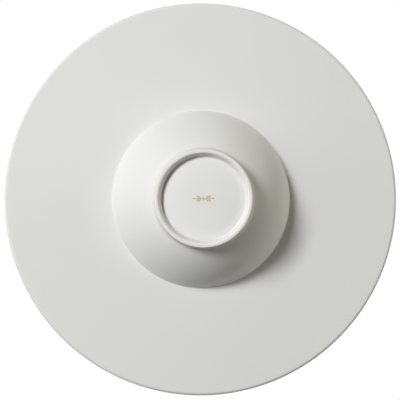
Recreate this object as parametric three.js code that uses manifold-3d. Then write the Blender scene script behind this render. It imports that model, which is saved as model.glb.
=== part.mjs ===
// A deep porcelain plate with a wide flat rim, a small bulging well and a foot ring.
// The body is divided into the forms a potter names, and its coats of glaze and gold mark are pieces too.
// Millimetres, +Z up, with the origin at the centre of the face that the foot stands on.

import * as THREE from 'three';
import { mergeVertices } from 'three/addons/utils/BufferGeometryUtils.js';
import Module from 'manifold-3d';

// Overall sizes, measured over the glaze
const PLATE_DIAMETER = 280;
const PLATE_HEIGHT = 50;
const RIM_THICKNESS = 4.6;

// Well: the outside of its wall is one arc, from the foot up to the underside of the rim
const WELL_MOUTH_RADIUS = 63;
const WALL_START_SLOPE = 32;
const WALL_THICKNESS = 4.6;
const FLOOR_THICKNESS = 4.4;
const FLOOR_FILLET = 18;
const MOUTH_FILLET = 1;
const SHOULDER_RADIUS = 6;
const RIM_JOINT_MARGIN = 2;

// Foot ring and the recess inside it
const FOOT_OUTER_RADIUS = 34;
const FOOT_HEIGHT = 8.8;
const FOOT_FACE_WIDTH = 2.6;
const FOOT_INNER_LEAN = 2;
const FOOT_OUTER_ROUND = 0.9;
const FOOT_INNER_ROUND = 1;
const FOOT_ROOT_FILLET = 6;
const RECESS_DEPTH = 6;
const BASE_DOME = 1.6;
const BASE_DOME_POWER = 3;

// Coats of glaze, wiped off the foot's face and the rounded edges beside it
const GLAZE_THICKNESS = 0.3;
const GLAZE_WIPE_MARGIN = 0.4;

// Gold mark: a lozenge on a stem with leaves along both sides
const MARK_THICKNESS = 0.08;
const MARK_STEM_LENGTH = 9.6;
const MARK_STEM_WIDTH = 0.4;
const MARK_LOZENGE = 3;
const LEAF_LENGTH = 3;
const LEAF_WIDTH = 1;
const LEAF_ANGLE = 50;
const LEAF_PITCH = 1.5;
const LEAVES_PER_SIDE = 2;

// Gaps that keep neighbours from sharing the same space
const BOND_GAP = 0.02;
const JOINT_GAP = 0.02;

// Facets round the axis and along each arc
const SEGMENTS = 48;
const MARK_SEGMENTS = 16;
const SHORT_ARC_STEPS = 3;
const LONG_ARC_STEPS = 5;
const WALL_STEPS = 6;
const DOME_STEPS = 4;
const LEAF_STEPS = 4;
const COINCIDENT = 1e-6;

const UP = Math.PI / 2;
const DOWN = -Math.PI / 2;
const INWARD = Math.PI;

// Profile helpers: x is the distance from the axis and y is the height
const point = (radius, height) => new THREE.Vector2(radius, height);
const onAxis = (p) => p.x < COINCIDENT;

function directionTo(from, to) {
  return Math.atan2(to.y - from.y, to.x - from.x);
}

function arc(centre, radius, start, end, steps) {
  return Array.from({ length: steps + 1 }, (_, step) => {
    const angle = start + ((end - start) * step) / steps;
    return point(centre.x + radius * Math.cos(angle), centre.y + radius * Math.sin(angle));
  });
}

function outline(...stretches) {
  return stretches.flat().filter((p, i, all) => i === 0 || p.distanceTo(all[i - 1]) > COINCIDENT);
}

// The rounding of a corner between two straight stretches
function roundCorner(before, corner, after, radius, steps) {
  const toBefore = before.clone().sub(corner).normalize();
  const toAfter = after.clone().sub(corner).normalize();
  const half = Math.acos(toBefore.dot(toAfter)) / 2;
  const toCentre = toBefore.clone().add(toAfter).normalize();
  const centre = corner.clone().addScaledVector(toCentre, radius / Math.sin(half));
  const setback = radius / Math.tan(half);
  const start = directionTo(centre, corner.clone().addScaledVector(toBefore, setback));
  const end = directionTo(centre, corner.clone().addScaledVector(toAfter, setback));
  const sweep = Math.atan2(Math.sin(end - start), Math.cos(end - start));
  return arc(centre, radius, start, start + sweep, steps);
}

// The centre, at a given height, of a circle whose centre lies a given distance from another centre
function centreAtHeight(from, distance, height) {
  return point(from.x + Math.sqrt(distance ** 2 - (height - from.y) ** 2), height);
}

// A profile moved out to its right by a distance, with points on the axis kept there
function offset(points, distance) {
  const normals = points.slice(1).map((p, i) => {
    const along = p.clone().sub(points[i]).normalize();
    return point(along.y, -along.x);
  });
  return points.map((p, i) => {
    const before = normals[Math.max(i - 1, 0)];
    const after = normals[Math.min(i, normals.length - 1)];
    const mitre = before.clone().add(after).normalize();
    const moved = p.clone().addScaledVector(mitre, distance);
    return onAxis(p) ? point(0, moved.y) : moved;
  });
}

// The two stretches of an inward profile, divided where it crosses a radius
function divideAtRadius(points, radius) {
  const first = points.findLastIndex((p) => p.x > radius);
  const [outer, inner] = [points[first], points[first + 1]];
  const crossing = outer.clone().lerp(inner, (outer.x - radius) / (outer.x - inner.x));
  return [[...points.slice(0, first + 1), crossing], [crossing, ...points.slice(first + 1)]];
}

// Turned solids: a profile runs outwards below and inwards above, so that faces point out
function turn(profile, segments = SEGMENTS) {
  return new THREE.LatheGeometry(profile, segments).rotateX(UP);
}

function turnRing(profile) {
  return turn([...profile, profile[0].clone()]);
}

// Heights and radii of the bare body, worked out from the sizes over the glaze
const coat = BOND_GAP + GLAZE_THICKNESS;
const rimTop = PLATE_HEIGHT - coat;
const rimUnder = PLATE_HEIGHT - RIM_THICKNESS + coat;
const lipRadius = (rimTop - rimUnder) / 2;
const lipCentre = point(PLATE_DIAMETER / 2 - coat - lipRadius, rimUnder + lipRadius);
const floorTop = RECESS_DEPTH + FLOOR_THICKNESS;

// The arc of the wall's outside, from its slope at the foot and the two points it joins
const wallFoot = point(FOOT_OUTER_RADIUS, FOOT_HEIGHT);
const wallMouth = point(WELL_MOUTH_RADIUS, rimUnder);
const startSlope = THREE.MathUtils.degToRad(WALL_START_SLOPE);
const halfTurn = directionTo(wallFoot, wallMouth) - startSlope;
const wallRadius = wallFoot.distanceTo(wallMouth) / (2 * Math.sin(halfTurn));
const towardsCentre = point(-Math.sin(startSlope), Math.cos(startSlope));
const wallCentre = wallFoot.clone().addScaledVector(towardsCentre, wallRadius);
const innerRadius = wallRadius - WALL_THICKNESS;

// Roundings that touch the wall: under the rim, over the rim, round the floor and at the foot's root
const mouthFillet = centreAtHeight(wallCentre, wallRadius + MOUTH_FILLET, rimUnder - MOUTH_FILLET);
const shoulder = centreAtHeight(wallCentre, innerRadius + SHOULDER_RADIUS, rimTop - SHOULDER_RADIUS);
const floorFillet = centreAtHeight(wallCentre, innerRadius - FLOOR_FILLET, floorTop + FLOOR_FILLET);
const rootRadius = FOOT_OUTER_RADIUS + FOOT_ROOT_FILLET;
const rootReach = wallRadius + FOOT_ROOT_FILLET;
const rootDrop = Math.sqrt(rootReach ** 2 - (rootRadius - wallCentre.x) ** 2);
const rootFillet = point(rootRadius, wallCentre.y - rootDrop);

const mouthAngle = directionTo(wallCentre, mouthFillet);
const shoulderAngle = directionTo(wallCentre, shoulder);
const floorAngle = directionTo(wallCentre, floorFillet);
const rootAngle = directionTo(wallCentre, rootFillet);

// Foot ring: its face, its rounded edges and the lean of its inside
const faceOuter = point(FOOT_OUTER_RADIUS, 0);
const faceInner = point(FOOT_OUTER_RADIUS - FOOT_FACE_WIDTH, 0);
const recessCorner = point(faceInner.x - FOOT_INNER_LEAN, RECESS_DEPTH);
const outerRound = roundCorner(faceInner, faceOuter, wallFoot, FOOT_OUTER_ROUND, SHORT_ARC_STEPS);
const innerRound = roundCorner(recessCorner, faceInner, faceOuter, FOOT_INNER_ROUND, SHORT_ARC_STEPS);
const glazeLine = Math.max(outerRound.at(-1).y, innerRound[0].y) + GLAZE_WIPE_MARGIN;
const glazeEndOuter = point(FOOT_OUTER_RADIUS, glazeLine);
const glazeEndInner = faceInner.clone().lerp(recessCorner, glazeLine / RECESS_DEPTH);

const domeProfile = Array.from({ length: DOME_STEPS + 1 }, (_, step) => {
  const share = step / DOME_STEPS;
  return point(recessCorner.x * share, RECESS_DEPTH - BASE_DOME * (1 - share ** BASE_DOME_POWER));
});

const rootProfile = arc(rootFillet, FOOT_ROOT_FILLET, INWARD, rootAngle + INWARD, SHORT_ARC_STEPS);
const outerWallProfile = arc(wallCentre, wallRadius, rootAngle, mouthAngle, WALL_STEPS);
const mouthProfile = arc(mouthFillet, MOUTH_FILLET, mouthAngle + INWARD, UP, SHORT_ARC_STEPS);
const lipUnderProfile = arc(lipCentre, lipRadius, DOWN, 0, SHORT_ARC_STEPS);
const lipTopProfile = arc(lipCentre, lipRadius, 0, UP, SHORT_ARC_STEPS);
const shoulderProfile = arc(shoulder, SHOULDER_RADIUS, UP, shoulderAngle + INWARD, SHORT_ARC_STEPS);
const innerWallProfile = arc(wallCentre, innerRadius, shoulderAngle, floorAngle, LONG_ARC_STEPS);
const floorFilletProfile = arc(floorFillet, FLOOR_FILLET, floorAngle, DOWN, LONG_ARC_STEPS);

// The inside of the well, and the glazed stretches of the whole outline
const insideProfile = outline(shoulderProfile, innerWallProfile, floorFilletProfile, [point(0, floorTop)]);
const upperProfile = outline(lipTopProfile, insideProfile);
const wallProfile = outline(rootProfile, outerWallProfile, mouthProfile);
const undersideProfile = outline([glazeEndOuter], wallProfile, lipUnderProfile);
const baseProfile = outline(domeProfile, [glazeEndInner]);

// Where the forms of the body meet
const rimJoint = Math.max(mouthFillet.x, shoulder.x) + RIM_JOINT_MARGIN;
const wallCorner = recessCorner.clone().addScalar(JOINT_GAP);

function rim() {
  const under = point(rimJoint + JOINT_GAP, rimUnder);
  const top = point(rimJoint + JOINT_GAP, rimTop);
  return turnRing(outline([under], lipUnderProfile, lipTopProfile, [top]));
}

function wellWall() {
  const [wallInside] = divideAtRadius(insideProfile, wallCorner.x);
  const joint = [point(rimJoint, rimUnder), point(rimJoint, rimTop)];
  return turnRing(outline(outerWallProfile, mouthProfile, joint, wallInside, [wallCorner]));
}

function wellFloor() {
  const [, floorInside] = divideAtRadius(insideProfile, recessCorner.x);
  return turn(outline(domeProfile, floorInside));
}

function footRing() {
  return turnRing(outline([recessCorner], innerRound, outerRound, rootProfile));
}

// A coat of glaze over a stretch of a profile, from its first to its last point
function glazeCoat(profile, first, last) {
  const bonded = offset(profile, BOND_GAP).slice(first, last + 1).reverse();
  const finished = offset(profile, coat).slice(first, last + 1);
  if (onAxis(profile[last])) return turn([...bonded, ...finished]);
  if (onAxis(profile[first])) return turn([...finished, ...bonded]);
  return turnRing([...finished, ...bonded]);
}

// Solids for joining and cutting
const wasm = await Module();
wasm.setup();

function solidOf(geometry) {
  const shared = geometry.clone();
  shared.deleteAttribute('normal');
  shared.deleteAttribute('uv');
  const merged = mergeVertices(shared);
  const corners = Array.from(merged.index.array);
  const triangles = [];
  for (let i = 0; i < corners.length; i += 3) {
    const triangle = corners.slice(i, i + 3);
    if (new Set(triangle).size === 3) triangles.push(...triangle);
  }
  const vertProperties = new Float32Array(merged.attributes.position.array);
  const triVerts = new Uint32Array(triangles);
  return new wasm.Manifold(new wasm.Mesh({ numProp: 3, vertProperties, triVerts }));
}

function geometryOf(solid) {
  const mesh = solid.getMesh();
  const geometry = new THREE.BufferGeometry();
  geometry.setAttribute('position', new THREE.BufferAttribute(mesh.vertProperties, mesh.numProp));
  geometry.setIndex(new THREE.BufferAttribute(mesh.triVerts, 1));
  return geometry;
}

// The mark's flat motif, as tall as the recess so that the base can cut it to its own curve
function motifPiece(shape) {
  const options = { depth: RECESS_DEPTH, bevelEnabled: false, curveSegments: LEAF_STEPS };
  return new THREE.ExtrudeGeometry(shape, options);
}

function leaf(x, angle) {
  const shape = new THREE.Shape();
  shape.moveTo(0, 0);
  shape.quadraticCurveTo(LEAF_LENGTH / 2, LEAF_WIDTH, LEAF_LENGTH, 0);
  shape.quadraticCurveTo(LEAF_LENGTH / 2, -LEAF_WIDTH, 0, 0);
  return motifPiece(shape).rotateZ(angle).translate(x, 0, 0);
}

function polygon(...corners) {
  return motifPiece(new THREE.Shape(corners.map(([x, y]) => point(x, y))));
}

function backstamp() {
  const halfStem = MARK_STEM_LENGTH / 2;
  const halfWidth = MARK_STEM_WIDTH / 2;
  const halfLozenge = MARK_LOZENGE / 2;
  const stem = polygon(
    [-halfStem, -halfWidth],
    [halfStem, -halfWidth],
    [halfStem, halfWidth],
    [-halfStem, halfWidth],
  );
  const lozenge = polygon([-halfLozenge, 0], [0, -halfLozenge], [halfLozenge, 0], [0, halfLozenge]);
  let motif = solidOf(stem).add(solidOf(lozenge));
  const lean = THREE.MathUtils.degToRad(LEAF_ANGLE);
  for (const outwards of [0, Math.PI]) {
    const side = Math.cos(outwards);
    motif = motif.add(solidOf(leaf(side * (halfStem - halfWidth), outwards)));
    for (let i = 1; i <= LEAVES_PER_SIDE; i += 1) {
      const x = side * (halfStem - i * LEAF_PITCH);
      motif = motif.add(solidOf(leaf(x, outwards + lean)));
      motif = motif.add(solidOf(leaf(x, outwards - lean)));
    }
  }
  const printed = coat + BOND_GAP;
  const face = offset(domeProfile, printed + MARK_THICKNESS);
  const back = offset(domeProfile, printed).reverse();
  return geometryOf(motif.intersect(solidOf(turn([...face, ...back], MARK_SEGMENTS))));
}

// Finishes
function finish(color, roughness, metalness = 0) {
  return new THREE.MeshStandardMaterial({ color, roughness, metalness });
}

const biscuit = () => finish(0xeeebe4, 0.8);
const satinGlaze = () => finish(0xe9e8e4, 0.45);
const gold = () => finish(0xc8a45c, 0.35, 1);

const plate = new THREE.Group();

function addPiece(name, geometry, material) {
  const mesh = new THREE.Mesh(geometry, material);
  mesh.name = name;
  plate.add(mesh);
}

const footToFloor = outline(undersideProfile, upperProfile);
const lip = undersideProfile.length - 1;

addPiece('rim', rim(), biscuit());
addPiece('well_wall', wellWall(), biscuit());
addPiece('well_floor', wellFloor(), biscuit());
addPiece('foot_ring', footRing(), biscuit());
addPiece('upper_glaze', glazeCoat(footToFloor, lip, footToFloor.length - 1), satinGlaze());
addPiece('underside_glaze', glazeCoat(footToFloor, 0, lip), satinGlaze());
addPiece('base_glaze', glazeCoat(baseProfile, 0, baseProfile.length - 1), satinGlaze());
addPiece('backstamp', backstamp(), gold());

export default plate;
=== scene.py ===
import math

import bmesh
import bpy
from bpy.props import FloatProperty, FloatVectorProperty, IntProperty, PointerProperty
from mathutils import Matrix, Vector


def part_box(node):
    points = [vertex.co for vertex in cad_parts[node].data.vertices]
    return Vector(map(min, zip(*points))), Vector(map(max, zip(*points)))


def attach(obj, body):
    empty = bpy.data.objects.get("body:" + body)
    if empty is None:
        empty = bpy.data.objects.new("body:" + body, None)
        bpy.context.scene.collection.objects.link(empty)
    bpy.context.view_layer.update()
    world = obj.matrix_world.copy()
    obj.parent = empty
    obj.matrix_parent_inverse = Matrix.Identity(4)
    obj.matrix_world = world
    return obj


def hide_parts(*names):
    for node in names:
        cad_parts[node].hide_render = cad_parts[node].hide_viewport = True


bl_info = {
    "name": "Deep Plate",
    "version": (1, 0, 0),
    "blender": (4, 5, 0),
    "location": "3D View > Sidebar > Deep Plate",
    "description": "A wide-rimmed porcelain deep plate: turned body, glaze, gold print and stage",
    "category": "Add Mesh",
}

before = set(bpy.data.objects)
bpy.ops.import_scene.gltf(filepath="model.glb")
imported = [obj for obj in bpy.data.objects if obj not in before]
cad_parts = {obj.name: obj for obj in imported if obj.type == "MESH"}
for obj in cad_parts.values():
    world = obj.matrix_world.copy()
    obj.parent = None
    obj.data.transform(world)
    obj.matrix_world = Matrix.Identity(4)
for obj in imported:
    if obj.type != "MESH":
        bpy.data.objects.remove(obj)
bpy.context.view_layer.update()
PLATE_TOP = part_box("upper_glaze")[1]

MM = 0.001
QUARTER = math.pi / 2

# Fineness of the turned meshes
TURN_STEPS = 256
CHORD_ERROR = 0.008 * MM
FEWEST_ARC_STEPS = 6
ROUND_STEPS = 6
DOME_STEPS = 16
LEAF_STEPS = 12
STEM_STEPS = 6
MERGE_DISTANCE = 0.0005 * MM
SHARP_ANGLE = math.radians(40)

# Skins of the fired surfaces: clouds are scale, tone depth and gloss depth; grain is scale and height
GLAZE_CLOUDS = (24, 0.03, 0.15)
BASE_CLOUDS = (40, 0.03, 0.15)
BISCUIT_CLOUDS = (260, 0.03, 0.1)
GOLD_CLOUDS = (900, 0.35, 0.25)
GLAZE_GRAIN = (700, 0.004 * MM)
BISCUIT_GRAIN = (2600, 0.004 * MM)
GOLD_GRAIN = (2200, 0.006 * MM)
CLOUD_NOISE = {"Detail": 3.0, "Roughness": 0.5}
GRAIN_NOISE = {"Detail": 2.0, "Roughness": 0.55}
NOISE_MIDDLE = 0.5
SATIN_SPECULAR = 0.12
FLOOR_ROUGHNESS = 0.9
FLOOR_SPECULAR = 0.1
WHITE = (1, 1, 1, 1)
FIRED_SURFACE = "fired_surface"

# Places of the colours on a Mix node, which share their names with its other kinds of value
MIX_FIRST, MIX_SECOND, MIX_RESULT = 6, 7, 2


def length(name, description, millimetres):
    """A size property, written in millimetres and kept in metres."""
    return FloatProperty(
        name=name, description=description, default=millimetres * MM, unit="LENGTH", precision=5
    )


def angle(name, description, degrees):
    """An angle property, written in degrees and kept in radians."""
    return FloatProperty(
        name=name, description=description, default=math.radians(degrees), subtype="ANGLE"
    )


def colour(name, description, rgb):
    """A colour property, in scene-linear red, green and blue."""
    return FloatVectorProperty(
        name=name, description=description, default=rgb, subtype="COLOR", min=0, max=1
    )


def share(name, description, default):
    """A property that runs from nothing to all."""
    return FloatProperty(
        name=name, description=description, default=default, min=0, max=1, subtype="FACTOR"
    )


class PlateSizes(bpy.types.PropertyGroup):
    """Sizes of the turned plate; the overall ones are measured over the glaze."""

    plate_radius: FloatProperty(
        name="Plate radius", description="Axis to lip", default=PLATE_TOP.x, unit="LENGTH", precision=5
    )
    plate_height: FloatProperty(
        name="Plate height", description="Foot face to the top of the rim", default=PLATE_TOP.z,
        unit="LENGTH", precision=5,
    )
    rim_thickness: length("Rim thickness", "Rim, over both coats of glaze", 4.6)
    mouth_radius: length("Well mouth", "Where the outside of the wall meets the rim", 63)
    wall_slope: angle("Wall slope", "Slope of the wall's outside where it leaves the foot", 32)
    wall_thickness: length("Wall thickness", "Bare wall of the well", 4.6)
    floor_thickness: length("Floor thickness", "Bare floor at the edge of the recess", 4.4)
    floor_fillet: length("Floor fillet", "Rounding between floor and wall, inside", 18)
    mouth_fillet: length("Mouth fillet", "Rounding between wall and rim, underneath", 1)
    shoulder_round: length("Shoulder", "Rounding between rim and well, on top", 6)
    rim_joint: length("Rim joint", "How far the wall runs on under the rim", 2)
    foot_radius: length("Foot radius", "Outside of the bare foot ring", 34)
    foot_height: length("Foot height", "Foot face to the start of the wall", 8.8)
    foot_width: length("Foot width", "Bare foot ring at its face", 2.6)
    foot_lean: length("Foot lean", "How far the inside of the foot leans in", 2)
    foot_outer_round: length("Outer rounding", "Outer edge of the foot face", 0.9)
    foot_inner_round: length("Inner rounding", "Inner edge of the foot face", 1)
    foot_root: length("Foot root", "Rounding between foot and wall", 6)
    recess_depth: length("Recess depth", "Foot face to the edge of the base", 6)
    recess_fillet: length("Recess fillet", "Glaze pooled in the corner of the recess", 0.8)
    base_dome: length("Base dome", "How far the middle of the base hangs down", 1.6)
    dome_power: FloatProperty(
        name="Dome power", description="How flat the middle of the base is", default=3
    )
    glaze_thickness: length("Glaze", "Thickness of the coats of glaze", 0.3)
    glaze_margin: length("Wiped margin", "Bare strip beside the rounded foot edges", 0.4)
    glaze_feather: length("Glaze feather", "Height over which the wiped glaze thins out", 1.6)
    glaze_edge: length("Glaze edge", "Thickness of the glaze where it was wiped", 0.04)
    # Width of the ring in which the painted shade on the side of the foot comes in
    painted_shade_fade: length("Glaze fade", "Ring at the edge of the base in which its glaze runs thin", 1.2)
    hairline: length("Hairline", "Gap that keeps neighbours apart", 0.02)


class SprigSizes(bpy.types.PropertyGroup):
    """Sizes of the gold sprig printed on the base."""

    stem_length: length("Stem length", "From end to end", 9.6)
    stem_width: length("Stem width", "Printed line", 0.4)
    lozenge: length("Lozenge", "From corner to corner", 3)
    lozenge_line: length("Lozenge line", "Printed frame of the lozenge", 0.36)
    lozenge_gap: length("Lozenge gap", "Bare line inside the frame", 0.26)
    leaf_length: length("Leaf length", "From stalk to tip", 3)
    leaf_width: length("Leaf width", "Across the middle", 1)
    leaf_vein: length("Leaf vein", "Bare line down the middle", 0.12)
    leaf_angle: angle("Leaf angle", "Between stem and side leaves", 50)
    leaf_pitch: length("Leaf pitch", "Between leaves along the stem", 1.5)
    leaf_pairs: IntProperty(
        name="Leaf pairs", description="On each side of the lozenge", default=2, min=1
    )
    thickness: length("Print thickness", "Height of the print on the glaze", 0.08)


class PlateFinish(bpy.types.PropertyGroup):
    """Colours and gloss of the plate."""

    glaze: colour("Glaze", "Satin white glaze", (0.78, 0.78, 0.765))
    # The base glaze is a lighter copy of the glaze: painted light on the base inside the foot ring
    base_glaze: colour("Base glaze", "Glaze inside the foot ring", (0.84, 0.84, 0.825))
    # Painted shade: a darker copy of the base glaze, laid all round the inside of the foot past the
    # base's edge
    flank_painted_shade: colour(
        "Thin glaze", "Base glaze where it ran thin on the side of the foot", (0.76, 0.755, 0.74)
    )
    biscuit: colour("Biscuit", "Bare ground porcelain", (0.84, 0.83, 0.80))
    gold: colour("Gold", "Fired gold print", (0.45, 0.38, 0.20))
    glaze_roughness: share("Glaze roughness", "Satin sheen of the glaze", 0.55)
    biscuit_roughness: share("Biscuit roughness", "Ground porcelain without glaze", 0.75)
    gold_roughness: share("Gold roughness", "Fired gold on a satin ground", 0.42)


class StageSettings(bpy.types.PropertyGroup):
    """Camera, floor and light round the plate."""

    camera_offset: FloatVectorProperty(
        name="Camera offset", description="Sideways from the plate's axis",
        size=2, default=(-49.5 * MM, 12.8 * MM), subtype="XYZ", unit="LENGTH",
    )
    camera_drop: length("Camera drop", "How far the camera hangs below the foot", 1200)
    aim_offset: FloatVectorProperty(
        name="Aim offset", description="Point that the middle of the picture shows, beside the axis",
        size=2, default=(-0.82 * MM, 0.61 * MM), subtype="XYZ", unit="LENGTH",
    )
    picture_fill: share("Picture fill", "Share of the picture's width that the plate takes", 0.9815)
    fill_tint: colour(
        "Fill tint", "Warm light of the fills, as thrown back by a room", (1.0, 0.975, 0.85)
    )
    floor: colour("Floor", "Pale floor that the plate stands on", (0.86, 0.86, 0.85))
    floor_size: length("Floor size", "Half the side of the floor", 4000)
    floor_gap: length("Floor gap", "Keeps the floor just clear of the foot face", 0.05)


# Softboxes, wholly below the floor so that they leave its top alone: azimuth and elevation in degrees,
# distance, width and height in metres, and power in watts; those named a fill shine warm
SOFTBOXES = {
    "key_softbox": (210, 47, 3.2, 0.96, 0.64, 92.5),
    "side_softbox": (180, 40, 1.6, 0.9, 0.9, 4.2),
    "low_fill": (336, 8, 1.4, 0.9, 0.24, 3.4),
    "right_fill": (350, 18, 1.4, 0.8, 0.8, 2.9),
    "bottom_fill": (60, 18, 1.4, 0.8, 0.8, 1.8),
}

# Soft daylight from above: azimuth, elevation and spread in degrees, and strength
SKYLIGHTS = {
    "sky_key": (215, 52, 25, 2.0),
    "sky_soft": (0, 90, 120, 1.3),
}


def circle_centre(beside, distance, height):
    """The centre at a given height that lies a given distance outside another centre."""
    return Vector((beside.x + math.sqrt(distance**2 - (height - beside.y) ** 2), height))


def bearing(start, end):
    """The angle of the line from one section point to another."""
    return math.atan2(end.y - start.y, end.x - start.x)


def only_verts(geometry):
    """The vertices among the vertices, edges and faces that a bmesh operator hands back."""
    return [item for item in geometry if isinstance(item, bmesh.types.BMVert)]


class Pen:
    """Draws a run of edges in the section plane, where x is the distance from the axis."""

    def __init__(self, bm, x, z):
        self.bm = bm
        self.first = bm.verts.new((x, 0, z))
        self.last = self.first

    def line(self, x, z):
        """A straight stretch to a point, whose vertex is handed back."""
        self.last = bmesh.ops.extrude_vert_indiv(self.bm, verts=[self.last])["verts"][0]
        self.last.co = (x, 0, z)
        return self.last

    def arc(self, centre, sweep):
        """A round stretch about a centre; a positive sweep goes from outwards to upwards."""
        radius = (self.last.co.xz - centre).length
        finest = 2 * math.acos(1 - CHORD_ERROR / radius)
        steps = max(FEWEST_ARC_STEPS, math.ceil(abs(sweep) / finest))
        spun = bmesh.ops.spin(
            self.bm, geom=[self.last], cent=(centre.x, 0, centre.y), axis=(0, -1, 0), angle=sweep,
            steps=steps,
        )
        self.last = only_verts(spun["geom_last"])[0]


class Section:
    """Centres, heights and runs of the plate's turned section."""

    def __init__(self, sizes):
        self.sizes = sizes
        self.coat = sizes.hairline + sizes.glaze_thickness
        self.rim_top = sizes.plate_height - self.coat
        self.rim_under = sizes.plate_height - sizes.rim_thickness + self.coat
        self.lip_radius = (self.rim_top - self.rim_under) / 2
        lip_x = sizes.plate_radius - self.coat - self.lip_radius
        self.lip = Vector((lip_x, self.rim_under + self.lip_radius))
        self.floor_top = sizes.recess_depth + sizes.floor_thickness
        self.place_wall()
        self.place_foot()

    def place_wall(self):
        """The arc of the wall and the roundings that touch it."""
        sizes = self.sizes
        foot = Vector((sizes.foot_radius, sizes.foot_height))
        mouth = Vector((sizes.mouth_radius, self.rim_under))
        half_turn = bearing(foot, mouth) - sizes.wall_slope
        outer = (mouth - foot).length / (2 * math.sin(half_turn))
        inner = outer - sizes.wall_thickness
        inwards = Vector((-math.sin(sizes.wall_slope), math.cos(sizes.wall_slope)))
        self.wall = foot + inwards * outer
        mouth_height = self.rim_under - sizes.mouth_fillet
        self.mouth = circle_centre(self.wall, outer + sizes.mouth_fillet, mouth_height)
        shoulder_height = self.rim_top - sizes.shoulder_round
        self.shoulder = circle_centre(self.wall, inner + sizes.shoulder_round, shoulder_height)
        floor_height = self.floor_top + sizes.floor_fillet
        self.floor = circle_centre(self.wall, inner - sizes.floor_fillet, floor_height)
        root_x = sizes.foot_radius + sizes.foot_root
        root_drop = math.sqrt((outer + sizes.foot_root) ** 2 - (root_x - self.wall.x) ** 2)
        self.root = Vector((root_x, self.wall.y - root_drop))
        self.mouth_angle = bearing(self.wall, self.mouth)
        self.shoulder_angle = bearing(self.wall, self.shoulder)
        self.floor_angle = bearing(self.wall, self.floor)
        self.root_angle = bearing(self.wall, self.root)
        self.rim_joint = max(self.mouth.x, self.shoulder.x) + sizes.rim_joint

    def place_foot(self):
        """The corners of the foot ring, and the line that the glaze is wiped to."""
        sizes = self.sizes
        self.face_inner = Vector((sizes.foot_radius - sizes.foot_width, 0))
        self.recess_corner = Vector((self.face_inner.x - sizes.foot_lean, sizes.recess_depth))
        flank = (self.face_inner - self.recess_corner).normalized()
        self.flank_out = Vector((flank.y, -flank.x))
        inner_round_top = sizes.foot_inner_round / math.tan(math.acos(-flank.x) / 2) * -flank.y
        self.glaze_line = max(sizes.foot_outer_round, inner_round_top) + sizes.glaze_margin
        self.full_glaze = self.glaze_line + sizes.glaze_feather

    def on_flank(self, height, depth):
        """A point over the inside of the foot, a depth of glaze off the bare body."""
        bare = self.face_inner.lerp(self.recess_corner, height / self.sizes.recess_depth)
        return bare + self.flank_out * depth

    def dome(self, x):
        """Height of the bare base at a distance from the axis."""
        edge_share = x / self.recess_corner.x
        return self.sizes.recess_depth - self.sizes.base_dome * (1 - edge_share**self.sizes.dome_power)

    def floor_cut(self, x):
        """The angle on the floor's fillet at a distance from the axis."""
        return -math.acos((x - self.floor.x) / self.sizes.floor_fillet)

    def draw_wall_outside(self, pen):
        """Up the outside of the wall and round under the rim, from the end of the foot's root."""
        pen.arc(self.wall, self.mouth_angle - self.root_angle)
        pen.arc(self.mouth, -QUARTER - self.mouth_angle)

    def draw_well_inside(self, pen, last_angle):
        """Over the shoulder, down the inside of the wall and along the floor's fillet to an angle."""
        pen.arc(self.shoulder, self.shoulder_angle + QUARTER)
        pen.arc(self.wall, self.floor_angle - self.shoulder_angle)
        pen.arc(self.floor, last_angle - self.floor_angle)

    def draw_dome(self, pen, depth):
        """From the axis towards the edge of the base, short of its corner."""
        for step in range(1, DOME_STEPS):
            x = self.recess_corner.x * step / DOME_STEPS
            pen.line(x, self.dome(x) - depth)

    def underside(self, bm, depth, wiped_depth):
        """The outline from the wiped foot to the lip, a depth of glaze outside the bare body."""
        sizes = self.sizes
        pen = Pen(bm, sizes.foot_radius + wiped_depth, self.glaze_line)
        pen.line(sizes.foot_radius + depth, self.full_glaze)
        pen.line(sizes.foot_radius + depth, self.root.y)
        pen.arc(self.root, self.root_angle)
        self.draw_wall_outside(pen)
        pen.line(self.lip.x, self.rim_under - depth)
        pen.arc(self.lip, QUARTER)
        return pen

    def upper(self, bm, depth):
        """The outline from the lip to the middle of the well's floor."""
        pen = Pen(bm, self.lip.x + self.lip_radius + depth, self.lip.y)
        pen.arc(self.lip, QUARTER)
        pen.line(self.shoulder.x, self.rim_top + depth)
        self.draw_well_inside(pen, -QUARTER)
        pen.line(0, self.floor_top + depth)
        return pen

    def base(self, bm, depth, wiped_depth):
        """The outline from the middle of the base to the wiped foot, and the corner between them."""
        corner_shift = depth * (1 + self.flank_out.y) / self.flank_out.x
        pen = Pen(bm, 0, self.dome(0) - depth)
        self.draw_dome(pen, depth)
        corner = pen.line(self.recess_corner.x + corner_shift, self.recess_corner.y - depth)
        pen.line(*self.on_flank(self.full_glaze, depth))
        pen.line(*self.on_flank(self.glaze_line, wiped_depth))
        return pen, corner


def join(bm, start, end):
    """An edge between two ends of a section."""
    bmesh.ops.contextual_create(bm, geom=[start, end])


def round_corner(bm, corner, radius):
    """Rounds the corner between two straight edges of a section."""
    sides = [edge.other_vert(corner).co - corner.co for edge in corner.link_edges]
    setback = radius / math.tan(sides[0].angle(sides[1]) / 2)
    bmesh.ops.bevel(
        bm, geom=[corner], offset=setback, offset_type="OFFSET", segments=ROUND_STEPS, profile=0.5,
        affect="VERTICES", material=-1,
    )


def turn(bm):
    """Turns the drawn section once round the axis."""
    section = bm.verts[:] + bm.edges[:]
    bmesh.ops.spin(
        bm, geom=section, cent=(0, 0, 0), axis=(0, 0, 1), angle=4 * QUARTER, steps=TURN_STEPS,
        use_merge=True,
    )


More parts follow.
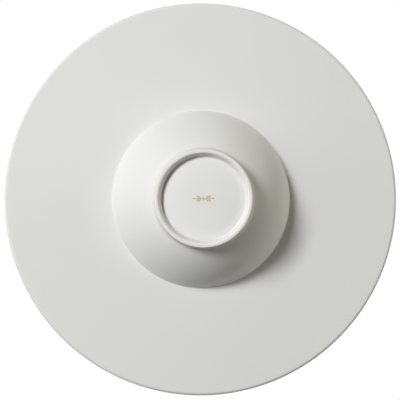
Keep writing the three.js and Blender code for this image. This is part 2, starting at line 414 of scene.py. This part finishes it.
def finish_piece(bm, name, node, material):
    """Makes a closed mesh the piece that stands for a solid of the frame."""
    bmesh.ops.remove_doubles(bm, verts=bm.verts, dist=MERGE_DISTANCE)
    bmesh.ops.recalc_face_normals(bm, faces=bm.faces)
    mesh = bpy.data.meshes.new(name)
    bm.to_mesh(mesh)
    bm.free()
    mesh.shade_smooth()
    mesh.set_sharp_from_angle(angle=SHARP_ANGLE)
    mesh.materials.append(material)
    piece = bpy.data.objects.new(name, mesh)
    bpy.context.scene.collection.objects.link(piece)
    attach(piece, "root")
    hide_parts(node)


def add_node(tree, kind, values=None, **settings):
    """A shader node with its settings and socket values."""
    node = tree.nodes.new(kind)
    for name, setting in settings.items():
        setattr(node, name, setting)
    for socket, value in (values or {}).items():
        node.inputs[socket].default_value = value
    return node


def link(tree, source, output, target, socket):
    """A wire from one node to another."""
    tree.links.new(source.outputs[output], target.inputs[socket])


def fired_surface_group():
    """Slow clouds of tone and gloss and a fine grain, for every fired surface."""
    if FIRED_SURFACE in bpy.data.node_groups:
        return bpy.data.node_groups[FIRED_SURFACE]
    tree = bpy.data.node_groups.new(FIRED_SURFACE, "ShaderNodeTree")
    sockets = tree.interface
    sockets.new_socket("Tone", in_out="INPUT", socket_type="NodeSocketColor")
    for socket in ("Roughness", "Cloud Scale", "Cloud Depth", "Gloss Depth", "Grain Scale"):
        sockets.new_socket(socket, in_out="INPUT", socket_type="NodeSocketFloat")
    sockets.new_socket("Tone", in_out="OUTPUT", socket_type="NodeSocketColor")
    sockets.new_socket("Roughness", in_out="OUTPUT", socket_type="NodeSocketFloat")
    sockets.new_socket("Height", in_out="OUTPUT", socket_type="NodeSocketFloat")
    given = add_node(tree, "NodeGroupInput")
    result = add_node(tree, "NodeGroupOutput")
    place = add_node(tree, "ShaderNodeTexCoord")
    clouds = add_node(tree, "ShaderNodeTexNoise", CLOUD_NOISE)
    link(tree, place, "Object", clouds, "Vector")
    link(tree, given, "Cloud Scale", clouds, "Scale")
    centred = add_node(tree, "ShaderNodeMath", {1: NOISE_MIDDLE}, operation="SUBTRACT")
    link(tree, clouds, "Fac", centred, 0)
    tone = add_node(tree, "ShaderNodeMath", {2: 1.0}, operation="MULTIPLY_ADD")
    link(tree, centred, "Value", tone, 0)
    link(tree, given, "Cloud Depth", tone, 1)
    shaded = add_node(tree, "ShaderNodeHueSaturation")
    link(tree, given, "Tone", shaded, "Color")
    link(tree, tone, "Value", shaded, "Value")
    gloss = add_node(tree, "ShaderNodeMath", operation="MULTIPLY_ADD")
    link(tree, centred, "Value", gloss, 0)
    link(tree, given, "Gloss Depth", gloss, 1)
    link(tree, given, "Roughness", gloss, 2)
    grain = add_node(tree, "ShaderNodeTexNoise", GRAIN_NOISE)
    link(tree, place, "Object", grain, "Vector")
    link(tree, given, "Grain Scale", grain, "Scale")
    link(tree, shaded, "Color", result, "Tone")
    link(tree, gloss, "Value", result, "Roughness")
    link(tree, grain, "Fac", result, "Height")
    return tree


def fired_material(name, tone, roughness, clouds, grain, metallic=0.0, specular=0.5):
    """A fired surface; clouds are scale, tone depth and gloss depth, and grain is scale and height."""
    if name in bpy.data.materials:
        return bpy.data.materials[name]
    material = bpy.data.materials.new(name)
    material.use_nodes = True
    tree = material.node_tree
    shader = tree.nodes["Principled BSDF"]
    shader.inputs["Metallic"].default_value = metallic
    shader.inputs["Specular IOR Level"].default_value = specular
    cloud_scale, cloud_depth, gloss_depth = clouds
    grain_scale, grain_height = grain
    values = {
        "Tone": (*tone, 1),
        "Roughness": roughness,
        "Cloud Scale": cloud_scale,
        "Cloud Depth": cloud_depth,
        "Gloss Depth": gloss_depth,
        "Grain Scale": grain_scale,
    }
    surface = add_node(
        tree, "ShaderNodeGroup", values, name=FIRED_SURFACE, node_tree=fired_surface_group()
    )
    bump = add_node(tree, "ShaderNodeBump", {"Strength": 1.0, "Distance": grain_height})
    link(tree, surface, "Tone", shader, "Base Color")
    link(tree, surface, "Roughness", shader, "Roughness")
    link(tree, surface, "Height", bump, "Height")
    link(tree, bump, "Normal", shader, "Normal")
    return material


def glaze_material(finish):
    """White satin glaze with a faint orange-peel skin."""
    return fired_material(
        "satin_glaze", finish.glaze, finish.glaze_roughness, GLAZE_CLOUDS, GLAZE_GRAIN,
        specular=SATIN_SPECULAR,
    )


def base_glaze_material(finish, edge, fade):
    """The same glaze inside the foot ring, with painted light that makes it whiter on the base and
    painted shade past the base's edge, on the side of the foot.
    """
    name = "base_glaze"
    if name in bpy.data.materials:
        return bpy.data.materials[name]
    material = fired_material(
        name, finish.base_glaze, finish.glaze_roughness, BASE_CLOUDS, GLAZE_GRAIN,
        specular=SATIN_SPECULAR,
    )
    tree = material.node_tree
    place = add_node(tree, "ShaderNodeTexCoord")
    level = add_node(tree, "ShaderNodeVectorMath", {1: (1, 1, 0)}, operation="MULTIPLY")
    from_axis = add_node(tree, "ShaderNodeVectorMath", operation="LENGTH")
    flank_shade_mask = add_node(
        tree, "ShaderNodeMapRange", {"From Min": edge - fade, "From Max": edge},
        interpolation_type="SMOOTHSTEP",
    )
    # Painted light on the base, and painted shade past its edge on the side of the foot
    base_painted_light, thin = (*finish.base_glaze, 1), (*finish.flank_painted_shade, 1)
    tone = add_node(tree, "ShaderNodeMix", {MIX_FIRST: base_painted_light, MIX_SECOND: thin}, data_type="RGBA")
    link(tree, place, "Object", level, 0)
    link(tree, level, "Vector", from_axis, 0)
    link(tree, from_axis, "Value", flank_shade_mask, "Value")
    link(tree, flank_shade_mask, "Result", tone, "Factor")
    link(tree, tone, MIX_RESULT, tree.nodes[FIRED_SURFACE], "Tone")
    return material


def biscuit_material(finish):
    """Bare porcelain, ground smooth, with a fine grain."""
    return fired_material(
        "ground_biscuit", finish.biscuit, finish.biscuit_roughness, BISCUIT_CLOUDS, BISCUIT_GRAIN,
        specular=SATIN_SPECULAR,
    )


def gold_material(finish):
    """Fired gold, a little uneven where it lies thin."""
    return fired_material(
        "fired_gold", finish.gold, finish.gold_roughness, GOLD_CLOUDS, GOLD_GRAIN, metallic=1.0
    )


class DEEPPLATE_OT_body(bpy.types.Operator):
    """Turn the bare porcelain forms under the glaze: rim, well wall and well floor"""

    bl_idname = "deep_plate.body"
    bl_label = "Turn Body"

    def execute(self, context):
        section = Section(context.scene.plate_sizes)
        material = biscuit_material(context.scene.plate_finish)
        for name, node, draw in (
            ("rim_body", "rim", self.draw_rim),
            ("well_wall_body", "well_wall", self.draw_wall),
            ("well_floor_body", "well_floor", self.draw_floor),
        ):
            bm = bmesh.new()
            draw(bm, section)
            turn(bm)
            finish_piece(bm, name, node, material)
        return {"FINISHED"}

    def draw_rim(self, bm, section):
        """The flat flange, with its half-round lip."""
        inside = section.rim_joint + section.sizes.hairline
        pen = Pen(bm, inside, section.rim_under)
        pen.line(section.lip.x, section.rim_under)
        pen.arc(section.lip, 2 * QUARTER)
        pen.line(inside, section.rim_top)
        join(bm, pen.last, pen.first)

    def draw_wall(self, bm, section):
        """The side of the well, up to its joint with the rim and down to that with the floor."""
        sizes = section.sizes
        corner = section.recess_corner + Vector((sizes.hairline, sizes.hairline))
        root_end = section.root + (section.wall - section.root).normalized() * sizes.foot_root
        pen = Pen(bm, *root_end)
        section.draw_wall_outside(pen)
        pen.line(section.rim_joint, section.rim_under)
        pen.line(section.rim_joint, section.rim_top)
        pen.line(section.shoulder.x, section.rim_top)
        section.draw_well_inside(pen, section.floor_cut(corner.x))
        pen.line(*corner)
        join(bm, pen.last, pen.first)

    def draw_floor(self, bm, section):
        """The disc that closes the well, domed underneath."""
        corner = section.recess_corner
        cut = section.floor_cut(corner.x)
        pen = Pen(bm, 0, section.dome(0))
        section.draw_dome(pen, 0)
        pen.line(*corner)
        pen.line(corner.x, section.floor.y + section.sizes.floor_fillet * math.sin(cut))
        pen.arc(section.floor, -QUARTER - cut)
        pen.line(0, section.floor_top)


class DEEPPLATE_OT_foot_ring(bpy.types.Operator):
    """Turn the foot ring, with the bare ground face that the plate stands on"""

    bl_idname = "deep_plate.foot_ring"
    bl_label = "Turn Foot Ring"

    def execute(self, context):
        sizes = context.scene.plate_sizes
        section = Section(sizes)
        bm = bmesh.new()
        pen = Pen(bm, *section.recess_corner)
        face_inner = pen.line(*section.face_inner)
        face_outer = pen.line(sizes.foot_radius, 0)
        pen.line(sizes.foot_radius, section.root.y)
        pen.arc(section.root, section.root_angle)
        join(bm, pen.last, pen.first)
        round_corner(bm, face_inner, sizes.foot_inner_round)
        round_corner(bm, face_outer, sizes.foot_outer_round)
        turn(bm)
        material = biscuit_material(context.scene.plate_finish)
        finish_piece(bm, "foot_ring_body", "foot_ring", material)
        return {"FINISHED"}


class DEEPPLATE_OT_glaze(bpy.types.Operator):
    """Coat the eating side, the underside and the base with glaze"""

    bl_idname = "deep_plate.glaze"
    bl_label = "Glaze"

    def execute(self, context):
        section = Section(context.scene.plate_sizes)
        finish = context.scene.plate_finish
        self.coat_top(section, glaze_material(finish))
        self.coat_underside(section, glaze_material(finish))
        # The base's edge, past which the painted shade on the side of the foot comes in
        base_edge = section.recess_corner.x - section.sizes.recess_fillet
        self.coat_base(section, base_glaze_material(finish, base_edge, section.sizes.painted_shade_fade))
        return {"FINISHED"}

    def coat_top(self, section, material):
        """The coat from the lip to the middle of the well."""
        bm = bmesh.new()
        face = section.upper(bm, section.coat)
        back = section.upper(bm, section.sizes.hairline)
        join(bm, face.first, back.first)
        turn(bm)
        finish_piece(bm, "upper_glaze_coat", "upper_glaze", material)

    def coat_underside(self, section, material):
        """The coat from the wiped foot to the lip."""
        bm = bmesh.new()
        hairline = section.sizes.hairline
        face = section.underside(bm, section.coat, hairline + section.sizes.glaze_edge)
        back = section.underside(bm, hairline, hairline)
        join(bm, face.first, back.first)
        join(bm, face.last, back.last)
        turn(bm)
        finish_piece(bm, "underside_glaze_coat", "underside_glaze", material)

    def coat_base(self, section, material):
        """The coat inside the foot ring, rounded where glaze pooled in the corner."""
        bm = bmesh.new()
        hairline = section.sizes.hairline
        face, corner = section.base(bm, section.coat, hairline + section.sizes.glaze_edge)
        back, _ = section.base(bm, hairline, hairline)
        join(bm, face.last, back.last)
        round_corner(bm, corner, section.sizes.recess_fillet)
        turn(bm)
        finish_piece(bm, "base_glaze_coat", "base_glaze", material)


class DEEPPLATE_OT_gold_sprig(bpy.types.Operator):
    """Print the gold sprig, a lozenge between leaves, on the middle of the base"""

    bl_idname = "deep_plate.gold_sprig"
    bl_label = "Print Gold Sprig"

    def execute(self, context):
        sprig = context.scene.sprig_sizes
        bm = bmesh.new()
        self.draw_leaves(bm, sprig)
        self.draw_lozenge(bm, sprig)
        self.draw_stems(bm, sprig)
        self.print_on_base(bm, sprig, Section(context.scene.plate_sizes))
        finish_piece(bm, "gold_sprig", "backstamp", gold_material(context.scene.plate_finish))
        return {"FINISHED"}

    def draw_leaves(self, bm, sprig):
        """One leaf beside the origin, copied to its places along the stem."""
        bow = sprig.leaf_width / 2
        radius = (sprig.leaf_length**2 / 4 + bow**2) / (2 * bow)
        sweep = 2 * math.asin(sprig.leaf_length / (2 * radius))
        stalk = bm.verts.new((0, 0, 0))
        centre = (sprig.leaf_length / 2, bow - radius, 0)
        bmesh.ops.spin(bm, geom=[stalk], cent=centre, axis=(0, 0, 1), angle=-sweep, steps=LEAF_STEPS)
        bmesh.ops.contextual_create(bm, geom=bm.verts[:])
        outline = bm.verts[:] + bm.edges[:] + bm.faces[:]
        bmesh.ops.bisect_plane(
            bm, geom=outline, plane_co=(0, sprig.leaf_vein / 2, 0), plane_no=(0, 1, 0), clear_inner=True
        )
        half = bm.verts[:] + bm.edges[:] + bm.faces[:]
        bmesh.ops.mirror(bm, geom=half, matrix=Matrix.Identity(4), merge_dist=MERGE_DISTANCE, axis="Y")
        leaf = bm.verts[:] + bm.edges[:] + bm.faces[:]
        for place in self.leaf_places(sprig):
            copied = bmesh.ops.duplicate(bm, geom=leaf)["geom"]
            bmesh.ops.transform(bm, matrix=place, verts=only_verts(copied))
        bmesh.ops.delete(bm, geom=only_verts(leaf), context="VERTS")

    def leaf_places(self, sprig):
        """A leaf at each end of the stem, and pairs of leaves along it."""
        for outwards in (0, math.pi):
            side = math.cos(outwards)
            half_stem = sprig.stem_length / 2
            yield self.leaf_place(side * half_stem, outwards)
            for pair in range(1, sprig.leaf_pairs + 1):
                for lean in (sprig.leaf_angle, -sprig.leaf_angle):
                    yield self.leaf_place(side * (half_stem - pair * sprig.leaf_pitch), outwards + lean)

    def leaf_place(self, x, turned):
        """Moves the drawn leaf to a point on the stem and turns it there."""
        return Matrix.Translation((x, 0, 0)) @ Matrix.Rotation(turned, 4, "Z")

    def draw_lozenge(self, bm, sprig):
        """A filled lozenge inside a framed one."""
        made = bmesh.ops.create_circle(bm, cap_ends=True, segments=4, radius=sprig.lozenge / 2)
        face = made["verts"][0].link_faces[0]
        bmesh.ops.inset_individual(bm, faces=[face], thickness=sprig.lozenge_line)
        bare = bmesh.ops.inset_individual(bm, faces=[face], thickness=sprig.lozenge_gap)["faces"]
        bmesh.ops.delete(bm, geom=bare, context="FACES_KEEP_BOUNDARY")

    def draw_stems(self, bm, sprig):
        """The two halves of the stem, from the lozenge out to the end leaves."""
        span = (sprig.stem_length - sprig.lozenge) / 2
        for side in (-1, 1):
            middle = Matrix.Translation((side * (sprig.lozenge + span) / 2, 0, 0))
            stretch = Matrix.Diagonal((span, sprig.stem_width, 1, 1))
            bmesh.ops.create_grid(
                bm, x_segments=STEM_STEPS, y_segments=1, size=0.5, matrix=middle @ stretch
            )

    def print_on_base(self, bm, sprig, section):
        """Gives the flat sprig its thickness and lays it on the domed base."""
        upward = [face for face in bm.faces if face.normal.z > 0]
        bmesh.ops.reverse_faces(bm, faces=upward)
        raised = bmesh.ops.extrude_face_region(bm, geom=bm.faces[:], use_keep_orig=True)["geom"]
        bmesh.ops.translate(bm, verts=only_verts(raised), vec=(0, 0, -sprig.thickness))
        glazed = section.coat + section.sizes.hairline
        for vert in bm.verts:
            vert.co.z += section.dome(vert.co.xy.length) - glazed


class DEEPPLATE_OT_stage(bpy.types.Operator):
    """Set the camera, the pale floor, the lamps and the white surroundings"""

    bl_idname = "deep_plate.stage"
    bl_label = "Set Stage"

    def execute(self, context):
        stage = context.scene.stage_settings
        sizes = context.scene.plate_sizes
        rim_under = sizes.plate_height - sizes.rim_thickness
        self.place_camera(context, stage, sizes, rim_under)
        self.lay_floor(context, stage)
        self.hang_lamps(context, stage, Vector((0, 0, rim_under)))
        self.surround(context)
        context.scene.view_settings.view_transform = "Standard"
        return {"FINISHED"}

    def place_camera(self, context, stage, sizes, rim_under):
        """Looks up at the underside of the rim, with the frame's -Y at the top of the picture."""
        lens = bpy.data.cameras.new("photo_camera")
        camera = bpy.data.objects.new("photo_camera", lens)
        context.scene.collection.objects.link(camera)
        camera.location = (*stage.camera_offset, -stage.camera_drop)
        backwards = camera.location - Vector((*stage.aim_offset, rim_under))
        across = Vector((0, -1, 0)).cross(backwards).normalized()
        upwards = backwards.cross(across).normalized()
        turned = Matrix((across, upwards, backwards.normalized())).transposed()
        camera.rotation_euler = turned.to_euler()
        picture_width = 2 * sizes.plate_radius / stage.picture_fill
        lens.lens = lens.sensor_width * backwards.length / picture_width
        context.scene.camera = camera

    def lay_floor(self, context, stage):
        """A pale floor that shows only from above, so that the camera below sees the plate."""
        bm = bmesh.new()
        below_foot = Matrix.Translation((0, 0, -stage.floor_gap))
        bmesh.ops.create_grid(bm, x_segments=1, y_segments=1, size=stage.floor_size, matrix=below_foot)
        mesh = bpy.data.meshes.new("pale_floor")
        bm.to_mesh(mesh)
        bm.free()
        mesh.materials.append(self.floor_material(stage))
        floor = bpy.data.objects.new("pale_floor", mesh)
        context.scene.collection.objects.link(floor)
        # The softboxes shine through the floor, and it throws no light back at the plate
        floor.visible_diffuse = False
        floor.visible_glossy = False
        floor.visible_transmission = False
        floor.visible_shadow = False

    def floor_material(self, stage):
        """Matt and pale from above, clear from below."""
        material = bpy.data.materials.new("pale_floor")
        material.use_nodes = True
        tree = material.node_tree
        shader = tree.nodes["Principled BSDF"]
        shader.inputs["Base Color"].default_value = (*stage.floor, 1)
        shader.inputs["Roughness"].default_value = FLOOR_ROUGHNESS
        shader.inputs["Specular IOR Level"].default_value = FLOOR_SPECULAR
        clear = add_node(tree, "ShaderNodeBsdfTransparent")
        side = add_node(tree, "ShaderNodeNewGeometry")
        mixed = add_node(tree, "ShaderNodeMixShader")
        link(tree, side, "Backfacing", mixed, 0)
        link(tree, shader, "BSDF", mixed, 1)
        link(tree, clear, "BSDF", mixed, 2)
        link(tree, mixed, "Shader", tree.nodes["Material Output"], "Surface")
        return material

    def hang_lamps(self, context, stage, centre):
        """Softboxes round the camera below, and soft daylight above."""
        for name, (azimuth, elevation, distance, width, height, power) in SOFTBOXES.items():
            light = bpy.data.lights.new(name, "AREA")
            light.shape = "RECTANGLE"
            light.size = width
            light.size_y = height
            light.energy = power
            if name.endswith("fill"):
                light.color = stage.fill_tint
            self.hang(context, name, light, centre, self.direction(azimuth, -elevation) * distance)
        for name, (azimuth, elevation, spread, strength) in SKYLIGHTS.items():
            light = bpy.data.lights.new(name, "SUN")
            light.angle = math.radians(spread)
            light.energy = strength
            self.hang(context, name, light, centre, self.direction(azimuth, elevation))

    def direction(self, azimuth, elevation):
        """The way from the plate to a lamp, one metre long, from angles in degrees."""
        turned, raised = math.radians(azimuth), math.radians(elevation)
        flat = math.cos(raised)
        return Vector((math.cos(turned) * flat, math.sin(turned) * flat, math.sin(raised)))

    def hang(self, context, name, light, centre, offset):
        """Places a lamp at an offset from the plate's centre and points it there."""
        lamp = bpy.data.objects.new(name, light)
        context.scene.collection.objects.link(lamp)
        lamp.location = centre + offset
        lamp.rotation_euler = offset.to_track_quat("Z", "Y").to_euler()

    def surround(self, context):
        """White where the camera, gloss or glass sees past the plate, and dark for all other light."""
        world = bpy.data.worlds.new("white_surroundings")
        context.scene.world = world
        world.use_nodes = True
        tree = world.node_tree
        dark = tree.nodes["Background"]
        dark.inputs["Strength"].default_value = 0.0
        white = add_node(tree, "ShaderNodeBackground", {"Color": WHITE, "Strength": 1.0})
        path = add_node(tree, "ShaderNodeLightPath")
        seen = path.outputs["Is Camera Ray"]
        for ray in ("Is Glossy Ray", "Is Transmission Ray"):
            either = add_node(tree, "ShaderNodeMath", operation="MAXIMUM")
            tree.links.new(seen, either.inputs[0])
            link(tree, path, ray, either, 1)
            seen = either.outputs["Value"]
        mixed = add_node(tree, "ShaderNodeMixShader")
        tree.links.new(seen, mixed.inputs[0])
        link(tree, dark, "Background", mixed, 1)
        link(tree, white, "Background", mixed, 2)
        link(tree, mixed, "Shader", tree.nodes["World Output"], "Surface")


class DEEPPLATE_PT_sidebar(bpy.types.Panel):
    """Sizes, finish, stage and building steps of the deep plate"""

    bl_label = "Deep Plate"
    bl_idname = "DEEPPLATE_PT_sidebar"
    bl_space_type = "VIEW_3D"
    bl_region_type = "UI"
    bl_category = "Deep Plate"

    def draw(self, context):
        for label, settings in SETTINGS.items():
            group = getattr(context.scene, label)
            box = self.layout.box()
            for name in settings.__annotations__:
                box.prop(group, name)
        for step in STEPS:
            self.layout.operator(step.bl_idname)


SETTINGS = {
    "plate_sizes": PlateSizes,
    "sprig_sizes": SprigSizes,
    "plate_finish": PlateFinish,
    "stage_settings": StageSettings,
}
STEPS = (
    DEEPPLATE_OT_body,
    DEEPPLATE_OT_foot_ring,
    DEEPPLATE_OT_glaze,
    DEEPPLATE_OT_gold_sprig,
    DEEPPLATE_OT_stage,
)


def register():
    for cls in (*SETTINGS.values(), *STEPS, DEEPPLATE_PT_sidebar):
        bpy.utils.register_class(cls)
    for label, settings in SETTINGS.items():
        setattr(bpy.types.Scene, label, PointerProperty(type=settings))


def unregister():
    for label in SETTINGS:
        delattr(bpy.types.Scene, label)
    for cls in reversed((*SETTINGS.values(), *STEPS, DEEPPLATE_PT_sidebar)):
        bpy.utils.unregister_class(cls)


def main():
    register()
    bpy.ops.deep_plate.body()
    bpy.ops.deep_plate.foot_ring()
    bpy.ops.deep_plate.glaze()
    bpy.ops.deep_plate.gold_sprig()
    bpy.ops.deep_plate.stage()


if __name__ == "__main__":
    main()
